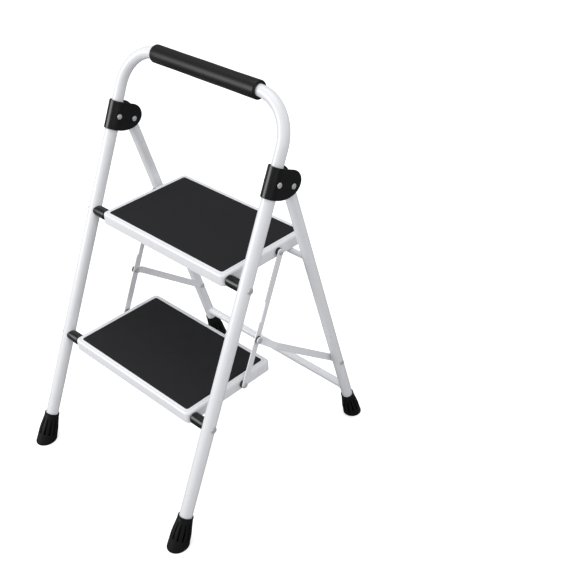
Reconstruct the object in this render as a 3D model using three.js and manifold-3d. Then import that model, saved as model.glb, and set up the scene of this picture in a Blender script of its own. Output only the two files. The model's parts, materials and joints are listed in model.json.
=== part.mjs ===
// A folding two-step stool: a leaning front frame with a padded handle, a rear frame that
// swings on two saddle brackets, and two steps that fold up between the legs.
// Millimetres. X runs to the right, Y to the back, Z up. The stool stands open on Z = 0, and
// the origin is under the middle of its footprint.

import * as THREE from "three";
import { mergeVertices } from "three/addons/utils/BufferGeometryUtils.js";
import Module from "manifold-3d";

const wasm = await Module();
wasm.setup();

// ---- driving dimensions -------------------------------------------------------------------
const DEG = Math.PI / 180;
const GAP = 0.3;                       // clearance between touching pieces
const EPS = 1;                         // how far a cutter runs past the face it cuts

const FRONT_LEAN = 24.2 * DEG;         // front legs lean back
const REAR_LEAN = 15.7 * DEG;          // rear legs lean forward
const LEG_X = 211;                     // leg axes, either side of the middle

const FRONT_R = 12.5;                  // front leg tube
const REAR_R = 11;                     // rear leg tube
const HANDLE_R = 11;                   // handle tube, plugged into the front legs
const TUBE_WALL = 1.2;

const LOWER_PIVOT_Z = 224;             // height of the lower step's pivots
const STEP_RISE = 242;                 // height between the two steps
const BRACKET_S = 699;                 // bracket rivet, along the front leg from the floor
const PIVOT_BACK = 36.5;               // rear leg pivot, behind the front leg's axis
const FRONT_LEG_TOP = 715;             // end of the front leg tube, inside the bracket
const HANDLE_PLUG = 640;               // lower end of the handle tube, inside the leg
const HANDLE_TOP = 834;                // handle axis, along the frame from the floor
const HANDLE_BEND = 77;                // bend radius of the handle tube
const REAR_LEG_TOP = 20;               // end of the rear leg above its pivot

const GRIP_HALF = 134;
const GRIP_R = 17;

const TRAY_HALF = 170;                 // step tray
const TRAY_FRONT = -13;
const TRAY_BACK = 198;
const TRAY_TOP = 12.8;
const TRAY_BOTTOM = -10.2;
const TRAY_CORNER = 10;
const SHEET = 1.5;                     // tray sheet
const MAT_HALF = 158;                  // anti-slip mat, in a shallow recess
const MAT_FRONT = -3.5;
const MAT_BACK = 187.5;
const MAT_CORNER = 5;
const MAT_THICK = 1.5;
const RECESS = 1.6;

const SLEEVE_R = 11;                   // spacer between step and leg
const ROD_R = 4;                       // step pivot rod
const RIVET_R = 3;
const HEAD_R = 5.2;                    // domed rivet head
const HEAD_HEIGHT = 2.4;

const STRAP_BACK = 122;                // strap pivots, measured from the step's pivot
const STRAP_UP = 1;
const STRAP_X = 177.2;                 // middle of the strap's thickness
const STRAP_THICK = 2.5;
const STRAP_HALF = 6.75;               // half the strap's width
const NOTCH_LOW = 125;                 // long notch opposite the upper sleeve when folded
const NOTCH_HIGH = 171;
const NOTCH_RAMP = 5;
const NOTCH_DEPTH = 3.2;
const WASHER_R = 7.2;                  // black washers at the strap pivots
const LINK_UP = 94.5;                  // link pivot, up the strap from its lower pivot
const LINK_X = 183.3;                  // link at the strap
const LINK_FOOT_X = 198.45;            // link at the rear leg
const LINK_DOWN = 473;                 // link pivot on the rear leg, down from the bracket
const LINK_THICK = 2.5;
const LINK_HALF = 7;
const LINK_BEND_START = 9;             // joggle of the link, beyond its pivot on the strap
const LINK_BEND_END = 38;

const UPPER_BAR_R = 5.5;               // rear frame crossbars
const LOWER_BAR_R = 8;
const LOWER_BAR_DOWN = 560;            // lower bar, down the rear leg from the bracket

const FOOT_HEIGHT = 64;                // rubber foot, along the leg
const FRONT_FOOT_TOP = 15;             // radii of the foot at its rim and at its sole
const FRONT_FOOT_SOLE = 20.5;
const REAR_FOOT_TOP = 13.5;
const REAR_FOOT_SOLE = 18.5;
const SOLE_THICK = 14;                 // leg end above the floor, along the leg

const ROUND = 20;                      // sides of a large round piece
const SMALL_ROUND = 12;                // sides of a rivet or rod

// ---- derived places -----------------------------------------------------------------------
const STEP_SPACING = STEP_RISE / Math.cos(FRONT_LEAN);
const LOWER_PIVOT_S = LOWER_PIVOT_Z / Math.cos(FRONT_LEAN);
const UPPER_PIVOT_S = LOWER_PIVOT_S + STEP_SPACING;
const REAR_PIVOT_Z = BRACKET_S * Math.cos(FRONT_LEAN) - PIVOT_BACK * Math.sin(FRONT_LEAN);
const REAR_LEG_LENGTH = REAR_PIVOT_Z / Math.cos(REAR_LEAN);
const REAR_PIVOT_RUN = BRACKET_S * Math.sin(FRONT_LEAN) + PIVOT_BACK * Math.cos(FRONT_LEAN);
const FEET_APART = REAR_PIVOT_RUN + REAR_PIVOT_Z * Math.tan(REAR_LEAN);

// ---- solids -------------------------------------------------------------------------------

/** Turn a closed three.js geometry into a solid, with its faces pointing out. */
function solid(geometry) {
  const bare = geometry.clone();
  bare.deleteAttribute("normal");
  bare.deleteAttribute("uv");
  const merged = mergeVertices(bare, 1e-4);
  const position = merged.getAttribute("position").array;
  const corners = Array.from(merged.index.array);
  const faces = [];
  for (let i = 0; i < corners.length; i += 3) {
    const [a, b, c] = corners.slice(i, i + 3);
    if (a !== b && b !== c && c !== a) faces.push([a, b, c]);
  }
  const at = (i) => new THREE.Vector3().fromArray(position, 3 * i);
  const volume = faces.reduce((sum, [a, b, c]) => sum + at(a).dot(at(b).cross(at(c))), 0);
  const outward = volume < 0 ? faces.map(([a, b, c]) => [a, c, b]) : faces;
  return new wasm.Manifold(new wasm.Mesh({
    numProp: 3,
    vertProperties: new Float32Array(position),
    triVerts: new Uint32Array(outward.flat()),
  }));
}

/** Turn a solid back into a three.js geometry. */
function surface(body) {
  const data = body.getMesh();
  const geometry = new THREE.BufferGeometry();
  geometry.setAttribute("position", new THREE.BufferAttribute(data.vertProperties, 3));
  geometry.setIndex(new THREE.BufferAttribute(data.triVerts, 1));
  geometry.computeVertexNormals();
  return geometry;
}

/** A solid with other solids cut out of it. */
function cut(body, ...cutters) {
  return cutters.reduce((rest, cutter) => rest.subtract(cutter), body);
}

/** Cylinder along X, from x0 to x1, around the line (y, z). */
function cylinderX(radius, x0, x1, y = 0, z = 0, sides = SMALL_ROUND) {
  const shape = new THREE.CylinderGeometry(radius, radius, x1 - x0, sides);
  return solid(shape.rotateZ(Math.PI / 2).translate((x0 + x1) / 2, y, z));
}

/** Cylinder along Z, from z0 to z1, around the line (x, y). */
function cylinderZ(radius, z0, z1, x = 0, y = 0, sides = ROUND) {
  const shape = new THREE.CylinderGeometry(radius, radius, z1 - z0, sides);
  return solid(shape.rotateX(Math.PI / 2).translate(x, y, (z0 + z1) / 2));
}

/** Solid turned around the X axis from a closed profile of [radius, x] corners. */
function turnedX(profile, sides = SMALL_ROUND) {
  const points = profile.map(([radius, x]) => new THREE.Vector2(radius, x));
  return solid(new THREE.LatheGeometry(points, sides).rotateZ(-Math.PI / 2));
}

/** Solid turned around the Z axis from a closed profile of [radius, z] corners. */
function turnedZ(profile, sides = ROUND) {
  const points = profile.map(([radius, z]) => new THREE.Vector2(radius, z));
  return solid(new THREE.LatheGeometry(points, sides).rotateX(Math.PI / 2));
}

/** Box between two corners. */
function block(low, high) {
  const size = high.map((value, i) => value - low[i]);
  const middle = high.map((value, i) => (value + low[i]) / 2);
  return solid(new THREE.BoxGeometry(...size).translate(...middle));
}

/** Flat outline in (x, y), raised from z0 to z1. */
function raised(outline, z0, z1, curveSegments = 4) {
  const options = { depth: z1 - z0, bevelEnabled: false, curveSegments };
  return solid(new THREE.ExtrudeGeometry(outline, options).translate(0, 0, z0));
}

/** Flat outline in (y, z), spread along X from x0 to x1. */
function spread(outline, x0, x1, curveSegments = 6) {
  const options = { depth: x1 - x0, bevelEnabled: false, curveSegments };
  const shape = new THREE.ExtrudeGeometry(outline, options);
  shape.rotateZ(Math.PI / 2).rotateY(Math.PI / 2);
  return solid(shape.translate(x0, 0, 0));
}

/** Rectangle with round corners, from (x0, y0) to (x1, y1). */
function roundedRectangle(x0, y0, x1, y1, corner) {
  const outline = new THREE.Shape();
  outline.moveTo(x0 + corner, y0);
  outline.lineTo(x1 - corner, y0);
  outline.absarc(x1 - corner, y0 + corner, corner, -Math.PI / 2, 0);
  outline.lineTo(x1, y1 - corner);
  outline.absarc(x1 - corner, y1 - corner, corner, 0, Math.PI / 2);
  outline.lineTo(x0 + corner, y1);
  outline.absarc(x0 + corner, y1 - corner, corner, Math.PI / 2, Math.PI);
  outline.lineTo(x0, y0 + corner);
  outline.absarc(x0 + corner, y0 + corner, corner, Math.PI, 1.5 * Math.PI);
  return outline;
}

/**
 * Strap outline in (y, z): round ends at z = 0 and z = length, pivots at the end centres.
 * The corners of a notch in the front edge, [y, z] from the top down, may be given.
 */
function strapOutline(length, half, notch = []) {
  const outline = new THREE.Shape();
  outline.moveTo(half, 0);
  outline.lineTo(half, length);
  outline.absarc(0, length, half, 0, Math.PI);
  for (const [y, z] of notch) outline.lineTo(y, z);
  outline.lineTo(-half, 0);
  outline.absarc(0, 0, half, Math.PI, 2 * Math.PI);
  return outline;
}

/** A path whose sweep stops exactly at the given stations, however far apart they are. */
class StationPath extends THREE.Curve {
  constructor(stations) {
    super();
    this.stations = stations;
  }

  getPoint(t) {
    const last = this.stations.length - 1;
    const index = Math.min(Math.floor(t * last + 1e-9), last - 1);
    return this.stations[index].clone().lerp(this.stations[index + 1], t * last - index);
  }

  getPointAt(u) {
    return this.getPoint(u);
  }

  getTangentAt(u) {
    const last = this.stations.length - 1;
    const index = Math.round(u * last);
    const before = this.stations[Math.max(index - 1, 0)];
    const after = this.stations[Math.min(index + 1, last)];
    return after.clone().sub(before).normalize();
  }
}

// ---- pieces of the front frame (z along the leg from the floor, y square to it) -------------

/** Straight tube along Z with cross holes for rivets and rods. */
function tube(radius, z0, z1, holes) {
  const pipe = cut(
    cylinderZ(radius, z0, z1),
    cylinderZ(radius - TUBE_WALL, z0 - EPS, z1 + EPS),
  );
  const drills = holes.map(([z, r]) => cylinderX(r + GAP, -2 * radius, 2 * radius, 0, z));
  return cut(pipe, ...drills);
}

function frontLeg() {
  return tube(FRONT_R, SOLE_THICK, FRONT_LEG_TOP, [
    [LOWER_PIVOT_S, ROD_R], [UPPER_PIVOT_S, ROD_R], [BRACKET_S, RIVET_R],
  ]);
}

/** Handle: a hoop of smaller tube whose ends plug into both legs. */
function handleTube() {
  const LINK_BEND_START = HANDLE_TOP - HANDLE_BEND;
  const bendX = LEG_X - HANDLE_BEND;
  const bendSteps = 6;
  const half = [new THREE.Vector3(LEG_X, 0, HANDLE_PLUG)];
  for (let i = 0; i <= bendSteps; i++) {
    const turn = (i / bendSteps) * Math.PI / 2;
    half.push(new THREE.Vector3(
      bendX + HANDLE_BEND * Math.cos(turn), 0, LINK_BEND_START + HANDLE_BEND * Math.sin(turn),
    ));
  }
  const mirrored = half.map((point) => new THREE.Vector3(-point.x, 0, point.z)).reverse();
  const stations = [...half, ...mirrored];
  const ring = new THREE.Shape().absarc(0, 0, HANDLE_R, 0, 2 * Math.PI);
  ring.holes.push(new THREE.Path().absarc(0, 0, HANDLE_R - TUBE_WALL, 0, 2 * Math.PI, true));
  const hoop = solid(new THREE.ExtrudeGeometry(ring, {
    steps: stations.length - 1, curveSegments: 8, extrudePath: new StationPath(stations),
  }));
  const drills = [-LEG_X, LEG_X].map(
    (x) => cylinderX(RIVET_R + GAP, x - 2 * HANDLE_R, x + 2 * HANDLE_R, 0, BRACKET_S),
  );
  return cut(hoop, ...drills);
}

function handleGrip() {
  const bore = HANDLE_R + GAP;
  return turnedX([
    [bore, -GRIP_HALF], [GRIP_R - 2, -GRIP_HALF], [GRIP_R, -GRIP_HALF + 2],
    [GRIP_R, GRIP_HALF - 2], [GRIP_R - 2, GRIP_HALF], [bore, GRIP_HALF], [bore, -GRIP_HALF],
  ], ROUND);
}

const CHEEK_IN = FRONT_R + GAP;        // saddle bracket, inner and outer half width
const CHEEK_OUT = CHEEK_IN + 2.4;
const BRACKET_TOP = 28;                // heights from the bracket rivet
const BRACKET_BOTTOM = -27;
const BRACKET_BACK = 54;

/** Side view of the bracket: square at the front, a full D at the back. */
function bracketSide() {
  const outline = new THREE.Shape();
  const backZ = 5;
  outline.moveTo(-CHEEK_OUT, BRACKET_BOTTOM);
  outline.lineTo(backZ, BRACKET_BOTTOM);
  outline.absellipse(5, backZ, BRACKET_BACK - 5, backZ - BRACKET_BOTTOM, -Math.PI / 2, 0);
  outline.absellipse(28, backZ, BRACKET_BACK - 28, BRACKET_TOP - backZ, 0, Math.PI / 2);
  outline.lineTo(-CHEEK_OUT, BRACKET_TOP);
  return outline;
}

/** Plan view of the bracket: round in front of the tube, straight cheeks behind it. */
function bracketPlan(half) {
  const outline = new THREE.Shape();
  outline.moveTo(half, 0);
  outline.lineTo(half, BRACKET_BACK + EPS);
  outline.lineTo(-half, BRACKET_BACK + EPS);
  outline.lineTo(-half, 0);
  outline.absarc(0, 0, half, Math.PI, 2 * Math.PI);
  return outline;
}

function bracket() {
  const low = BRACKET_BOTTOM - EPS;
  const high = BRACKET_TOP + EPS;
  const saddle = spread(bracketSide(), -CHEEK_OUT, CHEEK_OUT)
    .intersect(raised(bracketPlan(CHEEK_OUT), low, high, 10));
  const drill = (y) => cylinderX(RIVET_R + GAP, -2 * CHEEK_OUT, 2 * CHEEK_OUT, y, 0);
  return cut(saddle, raised(bracketPlan(CHEEK_IN), low, high, 10), drill(0), drill(PIVOT_BACK));
}

/** Profile of a domed rivet head that starts at x and rises by height (down, if negative). */
function dome(x, radius, height) {
  return [
    [radius, x], [radius, x + 0.2 * height], [0.6 * radius, x + 0.8 * height], [0, x + height],
  ];
}

/** Round shank along X with a domed head past each end. */
function rivet(radius, x0, x1, inner = [HEAD_R, HEAD_HEIGHT], outer = inner) {
  return turnedX([
    ...dome(x0, inner[0], -inner[1]).reverse(), [radius, x0], [radius, x1],
    ...dome(x1, ...outer),
  ]);
}

/** Spacer from the tray wall to the leg, with its far end hollowed to fit the tube. */
function sleeve() {
  const inner = TRAY_HALF - LEG_X + GAP;
  const body = turnedX([
    [0, inner], [SLEEVE_R - 3, inner], [SLEEVE_R, inner + 3], [SLEEVE_R, -FRONT_R / 2],
    [0, -FRONT_R / 2],
  ], ROUND);
  return cut(
    body,
    cylinderZ(FRONT_R + GAP, -3 * SLEEVE_R, 3 * SLEEVE_R),
    cylinderX(ROD_R + GAP, inner - EPS, EPS),
  );
}

/** Step pivot rod: round head outside the leg, peened end inside the tray. */
function stepRod() {
  return rivet(ROD_R, TRAY_HALF - LEG_X - SHEET - GAP, FRONT_R + GAP, [4.8, 2], [6.2, 2.8]);
}

/** Rubber foot: a flared cup around the leg end, cut level with the floor. */
function foot(tubeR, topR, soleR, lean) {
  const bore = tubeR + GAP;
  const reach = 2 * soleR;
  const cup = turnedZ([
    [0, -reach], [soleR, -reach], [soleR, 12], [topR, FOOT_HEIGHT], [bore, FOOT_HEIGHT],
    [bore, SOLE_THICK - GAP], [0, SOLE_THICK - GAP],
  ]);
  const floor = new THREE.BoxGeometry(8 * reach, 8 * reach, 4 * reach);
  floor.translate(0, 0, -2 * reach).rotateX(-lean);
  return cut(cup, solid(floor));
}

// ---- pieces of the rear frame (origin at the pivot, z up along the leg) ----------------------

const UPPER_BAR_Z = (() => {
  // The upper bar lies just under the open upper step: its height below the rear pivot.
  const stepZ = LOWER_PIVOT_Z + STEP_RISE;
  const barTop = stepZ + TRAY_BOTTOM - 0.5;
  return -(REAR_PIVOT_Z - (barTop - UPPER_BAR_R)) / Math.cos(REAR_LEAN);
})();

function rearLeg() {
  return tube(REAR_R, SOLE_THICK - REAR_LEG_LENGTH, REAR_LEG_TOP, [
    [0, RIVET_R], [-LINK_DOWN, RIVET_R],
  ]);
}

/** Crossbar between the rear legs, its ends hollowed to fit the tubes. */
function crossbar(radius) {
  const legs = [-LEG_X, LEG_X].map(
    (x) => cylinderZ(REAR_R + GAP, -3 * radius, 3 * radius, x),
  );
  return cut(cylinderX(radius, -LEG_X, LEG_X, 0, 0, ROUND), ...legs);
}

/** Rivet in the rear leg that carries the link: flush inside, round head outside. */
function linkRivet() {
  return turnedX([
    [0, -REAR_R + GAP], [RIVET_R, -REAR_R + GAP], [RIVET_R, REAR_R + GAP],
    ...dome(REAR_R + GAP, HEAD_R, HEAD_HEIGHT),
  ]);
}

// ---- pieces of a step (origin at its pivot, y back, z up) ------------------------------------

/** Pressed tray: rim, recessed deck, four walls, open underneath. */
function tray() {
  const deck = TRAY_TOP - RECESS;
  const shell = raised(
    roundedRectangle(-TRAY_HALF, TRAY_FRONT, TRAY_HALF, TRAY_BACK, TRAY_CORNER),
    TRAY_BOTTOM, TRAY_TOP,
  );
  const under = raised(
    roundedRectangle(
      SHEET - TRAY_HALF, TRAY_FRONT + SHEET, TRAY_HALF - SHEET, TRAY_BACK - SHEET,
      TRAY_CORNER - SHEET,
    ),
    TRAY_BOTTOM - EPS, deck - SHEET,
  );
  const recess = raised(
    roundedRectangle(-MAT_HALF, MAT_FRONT, MAT_HALF, MAT_BACK, MAT_CORNER),
    deck, TRAY_TOP + EPS,
  );
  const across = (radius, y, z) => cylinderX(radius + GAP, -2 * TRAY_HALF, 2 * TRAY_HALF, y, z);
  return cut(shell, under, recess, across(ROD_R, 0, 0), across(RIVET_R, STRAP_BACK, STRAP_UP));
}

function mat() {
  const low = TRAY_TOP - RECESS + GAP;
  return raised(
    roundedRectangle(
      GAP - MAT_HALF, MAT_FRONT + GAP, MAT_HALF - GAP, MAT_BACK - GAP, MAT_CORNER - GAP,
    ),
    low, low + MAT_THICK,
  );
}

/** Channel under the deck that stiffens the tray, open downwards. */
function brace() {
  const top = TRAY_TOP - RECESS - SHEET - GAP;
  const bottom = -6;
  const half = 14;
  const middle = 62;
  const end = TRAY_HALF - SHEET - GAP - 8;
  return cut(
    block([-end, middle - half, bottom], [end, middle + half, top]),
    block(
      [-end - EPS, middle - half + SHEET, bottom - EPS],
      [end + EPS, middle + half - SHEET, top - SHEET],
    ),
  );
}

const STRAP_IN = STRAP_X - STRAP_THICK / 2;
const STRAP_OUT = STRAP_X + STRAP_THICK / 2;

/** Washer along X between x0 and x1, with room for a rivet. */
function washer(radius, x0, x1) {
  const bore = RIVET_R + GAP;
  return turnedX([
    [bore, x0 + GAP], [radius, x0 + GAP], [radius, x1 - GAP], [bore, x1 - GAP],
    [bore, x0 + GAP],
  ], 18);
}

function strapWasher() {
  return washer(WASHER_R, TRAY_HALF, STRAP_IN);
}

/** Rivet from inside the tray wall to the outside of the strap. */
function strapRivet() {
  return rivet(RIVET_R, TRAY_HALF - SHEET - GAP, STRAP_OUT + GAP);
}

// ---- strap and link (origin at the lower strap pivot, z up along the strap) ------------------

function strap() {
  const floor = NOTCH_DEPTH - STRAP_HALF;
  const notch = [
    [-STRAP_HALF, NOTCH_HIGH], [floor, NOTCH_HIGH - NOTCH_RAMP],
    [floor, NOTCH_LOW + NOTCH_RAMP], [-STRAP_HALF, NOTCH_LOW],
  ];
  const flat = spread(strapOutline(STEP_SPACING, STRAP_HALF, notch), STRAP_IN, STRAP_OUT);
  const hole = (z) => cylinderX(RIVET_R + GAP, STRAP_IN - EPS, STRAP_OUT + EPS, 0, z);
  return cut(flat, hole(0), hole(LINK_UP), hole(STEP_SPACING));
}

function linkPivotRivet() {
  return rivet(RIVET_R, STRAP_IN - GAP, LINK_X + LINK_THICK / 2 + GAP);
}

function linkWasher() {
  return washer(WASHER_R, STRAP_OUT, LINK_X - LINK_THICK / 2);
}

/** Link: flat bar from the strap (z = 0) to the rear leg (z = length), set out near the leg. */
function link(length) {
  const near = LINK_X - LINK_THICK / 2;
  const far = LINK_FOOT_X - LINK_THICK / 2;
  const side = new THREE.Shape();
  side.moveTo(near, -2 * LINK_HALF);
  side.lineTo(near + LINK_THICK, -2 * LINK_HALF);
  side.lineTo(near + LINK_THICK, LINK_BEND_START);
  side.lineTo(far + LINK_THICK, LINK_BEND_END);
  side.lineTo(far + LINK_THICK, length + 2 * LINK_HALF);
  side.lineTo(far, length + 2 * LINK_HALF);
  side.lineTo(far, LINK_BEND_END);
  side.lineTo(near, LINK_BEND_START);
  const options = { depth: 4 * LINK_HALF, bevelEnabled: false };
  const band = new THREE.ExtrudeGeometry(side, options);
  band.rotateX(Math.PI / 2).translate(0, 2 * LINK_HALF, 0);
  const outline = spread(strapOutline(length, LINK_HALF), near - EPS, far + LINK_THICK + EPS);
  const hole = (z) => cylinderX(RIVET_R + GAP, near - EPS, far + 2 * LINK_THICK, 0, z);
  return cut(solid(band).intersect(outline), hole(0), hole(length));
}

/** Head of the rivet that holds the link to the rear leg, on the link's inner side. */
function linkHead() {
  const face = LINK_FOOT_X - LINK_THICK / 2 - GAP;
  const end = face + GAP + LINK_THICK;
  return turnedX([
    ...dome(face, HEAD_R, -HEAD_HEIGHT).reverse(), [RIVET_R, face], [RIVET_R, end], [0, end],
  ]);
}

// ---- materials ------------------------------------------------------------------------------
const FINISH = {
  coat: { color: 0xeeeef1, roughness: 0.32, metalness: 0.0 },
  plastic: { color: 0x1b1c1f, roughness: 0.4, metalness: 0.0 },
  rubber: { color: 0x161719, roughness: 0.62, metalness: 0.0 },
  foam: { color: 0x1d1e21, roughness: 0.7, metalness: 0.0 },
  mat: { color: 0x242527, roughness: 0.85, metalness: 0.0 },
  steel: { color: 0xb9bcc2, roughness: 0.25, metalness: 1.0 },
};

/** Named mesh of a solid, with its finish. */
function piece(name, body, finish) {
  const mesh = new THREE.Mesh(surface(body), new THREE.MeshStandardMaterial(FINISH[finish]));
  mesh.name = name;
  return mesh;
}

/** The same piece, for the left side (-X) or the right side (+X). */
function sided(body, side) {
  return side < 0 ? body.mirror([1, 0, 0]) : body;
}

// ---- assembly -------------------------------------------------------------------------------
const SIDES = [["left", -1], ["right", 1]];

function buildFrontFrame() {
  const frame = new THREE.Group();
  frame.rotation.x = -FRONT_LEAN;
  for (const [label, side] of SIDES) {
    const leg = new THREE.Group();
    leg.position.x = side * LEG_X;
    leg.add(piece(`${label}_front_leg`, frontLeg(), "coat"));
    leg.add(piece(
      `${label}_front_foot`, foot(FRONT_R, FRONT_FOOT_TOP, FRONT_FOOT_SOLE, -FRONT_LEAN), "rubber",
    ));
    const saddle = piece(`${label}_bracket`, bracket(), "plastic");
    const saddleRivet = rivet(RIVET_R, -CHEEK_OUT - GAP, CHEEK_OUT + GAP);
    const fixed = piece(`${label}_bracket_rivet`, saddleRivet, "steel");
    const pivot = piece(`${label}_rear_leg_rivet`, saddleRivet, "steel");
    saddle.position.z = fixed.position.z = pivot.position.z = BRACKET_S;
    pivot.position.y = PIVOT_BACK;
    leg.add(saddle, fixed, pivot);
    for (const [level, s] of [["lower", LOWER_PIVOT_S], ["upper", UPPER_PIVOT_S]]) {
      const spacer = piece(`${label}_${level}_sleeve`, sided(sleeve(), side), "plastic");
      const rod = piece(`${label}_${level}_step_rod`, sided(stepRod(), side), "steel");
      spacer.position.z = rod.position.z = s;
      leg.add(spacer, rod);
    }
    frame.add(leg);
  }
  frame.add(piece("handle_tube", handleTube(), "coat"));
  const grip = piece("handle_grip", handleGrip(), "foam");
  grip.position.z = HANDLE_TOP;
  frame.add(grip);
  return frame;
}

function buildRearFrame() {
  const frame = new THREE.Group();
  frame.position.set(0, REAR_PIVOT_RUN, REAR_PIVOT_Z);
  frame.rotation.x = REAR_LEAN;
  for (const [label, side] of SIDES) {
    const leg = piece(`${label}_rear_leg`, rearLeg(), "coat");
    const tip = piece(
      `${label}_rear_foot`, foot(REAR_R, REAR_FOOT_TOP, REAR_FOOT_SOLE, REAR_LEAN), "rubber",
    );
    const pin = piece(`${label}_link_rivet`, sided(linkRivet(), side), "steel");
    leg.position.x = tip.position.x = pin.position.x = side * LEG_X;
    tip.position.z = -REAR_LEG_LENGTH;
    pin.position.z = -LINK_DOWN;
    frame.add(leg, tip, pin);
  }
  const upper = piece("upper_crossbar", crossbar(UPPER_BAR_R), "coat");
  upper.position.z = UPPER_BAR_Z;
  const lower = piece("lower_crossbar", crossbar(LOWER_BAR_R), "coat");
  lower.position.z = -LOWER_BAR_DOWN;
  frame.add(upper, lower);
  return frame;
}

/** Place of a step's pivot, in the plane of the legs. */
function stepPivot(s) {
  return new THREE.Vector3(0, s * Math.sin(FRONT_LEAN), s * Math.cos(FRONT_LEAN));
}

function buildStep(level, s) {
  const step = new THREE.Group();
  step.position.copy(stepPivot(s));
  step.add(piece(`${level}_tray`, tray(), "coat"));
  step.add(piece(`${level}_mat`, mat(), "mat"));
  step.add(piece(`${level}_tray_brace`, brace(), "coat"));
  for (const [label, side] of SIDES) {
    const spacer = piece(`${label}_${level}_washer`, sided(strapWasher(), side), "plastic");
    const pin = piece(`${label}_${level}_strap_rivet`, sided(strapRivet(), side), "steel");
    spacer.position.set(0, STRAP_BACK, STRAP_UP);
    pin.position.set(0, STRAP_BACK, STRAP_UP);
    step.add(spacer, pin);
  }
  return step;
}

function buildLinkage() {
  const linkage = new THREE.Group();
  const foot0 = stepPivot(LOWER_PIVOT_S).add(new THREE.Vector3(0, STRAP_BACK, STRAP_UP));
  const knee = foot0.clone().add(stepPivot(LINK_UP));
  const ankle = new THREE.Vector3(
    0,
    REAR_PIVOT_RUN + LINK_DOWN * Math.sin(REAR_LEAN),
    REAR_PIVOT_Z - LINK_DOWN * Math.cos(REAR_LEAN),
  );
  const reach = ankle.clone().sub(knee);
  const straps = new THREE.Group();
  straps.position.copy(foot0);
  straps.rotation.x = -FRONT_LEAN;
  const links = new THREE.Group();
  links.position.copy(knee);
  links.rotation.x = Math.atan2(-reach.y, reach.z);
  for (const [label, side] of SIDES) {
    straps.add(piece(`${label}_strap`, sided(strap(), side), "coat"));
    const pin = piece(`${label}_link_pivot`, sided(linkPivotRivet(), side), "steel");
    const spacer = piece(`${label}_link_washer`, sided(linkWasher(), side), "plastic");
    pin.position.z = spacer.position.z = LINK_UP;
    straps.add(pin, spacer);
    links.add(piece(`${label}_link`, sided(link(reach.length()), side), "coat"));
    const head = piece(`${label}_link_head`, sided(linkHead(), side), "steel");
    head.position.z = reach.length();
    links.add(head);
  }
  linkage.add(straps, links);
  return linkage;
}

const stool = new THREE.Group();
stool.add(buildFrontFrame(), buildRearFrame());
stool.add(buildStep("lower", LOWER_PIVOT_S), buildStep("upper", UPPER_PIVOT_S));
stool.add(buildLinkage());

// The origin moves from the front feet to the middle of the footprint.
const soleReach = (radius, lean) => radius / Math.cos(lean);
const frontEdge = -soleReach(FRONT_FOOT_SOLE, FRONT_LEAN);
const rearEdge = FEET_APART + soleReach(REAR_FOOT_SOLE, REAR_LEAN);
stool.position.y = -(frontEdge + rearEdge) / 2;

export default stool;
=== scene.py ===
# %% [markdown]
# # A folding two-step stool
# The stool is a front frame that leans back, a rear frame that swings on two black brackets,
# and two steps that fold up flat between the legs. This file dresses the measured CAD frame
# with finished pieces, gives every piece its material, and sets a plain studio round it.
# All lengths are in metres, and every piece stays where the open stool has it.

# %% Tools and the measured frame
import json
import math

import bpy
import numpy as np
from mathutils import Matrix, Vector


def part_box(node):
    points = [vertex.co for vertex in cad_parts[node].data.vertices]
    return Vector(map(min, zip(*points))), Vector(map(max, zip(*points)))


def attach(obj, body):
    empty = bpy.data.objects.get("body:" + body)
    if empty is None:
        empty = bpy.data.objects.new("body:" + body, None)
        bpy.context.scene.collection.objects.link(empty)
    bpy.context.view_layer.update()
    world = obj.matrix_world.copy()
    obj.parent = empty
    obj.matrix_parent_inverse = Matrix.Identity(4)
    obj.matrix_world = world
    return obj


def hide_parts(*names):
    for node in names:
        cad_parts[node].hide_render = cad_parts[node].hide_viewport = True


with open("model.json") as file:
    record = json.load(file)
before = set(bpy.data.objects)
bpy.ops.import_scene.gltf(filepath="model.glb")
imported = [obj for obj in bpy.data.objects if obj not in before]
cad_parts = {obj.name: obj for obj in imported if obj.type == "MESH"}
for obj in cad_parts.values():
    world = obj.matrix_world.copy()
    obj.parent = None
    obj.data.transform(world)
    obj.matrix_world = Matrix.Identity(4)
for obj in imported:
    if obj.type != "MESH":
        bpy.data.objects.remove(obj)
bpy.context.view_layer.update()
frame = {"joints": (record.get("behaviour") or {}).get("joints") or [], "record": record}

# %% [markdown]
# The pieces are easiest to describe along their own part of the stool: so far along a leg, so
# far behind it. A `Part` holds an origin and three directions, and turns such local numbers
# into places in the room. The origins come from the joints of the frame, so the finished
# pieces turn about the same lines as the CAD ones.

# %% Local directions of the legs, steps, straps and links
MM = 0.001
X_AXIS = np.array([1.0, 0.0, 0.0])
JOINTS = {j["name"]: np.array(j["pos_m"]) * [0, 1, 1] for j in frame["joints"]}


class Part:
    """Place of a group of pieces: point (x, back, up) goes to origin + x X + back B + up U."""

    def __init__(self, origin, up):
        self.origin = np.asarray(origin, float)
        self.up = np.asarray(up, float) / np.linalg.norm(up)
        self.axes = np.stack([X_AXIS, np.cross(self.up, X_AXIS), self.up])

    def __call__(self, points, shift=(0, 0, 0)):
        """Local points, moved by shift, as places in the room."""
        return self.origin + (np.asarray(points) + shift) @ self.axes


def middle(node):
    """Middle of a CAD node's box, without its X."""
    low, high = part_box(node)
    return (np.array(low) + np.array(high)) / 2 * [0, 1, 1]


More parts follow.
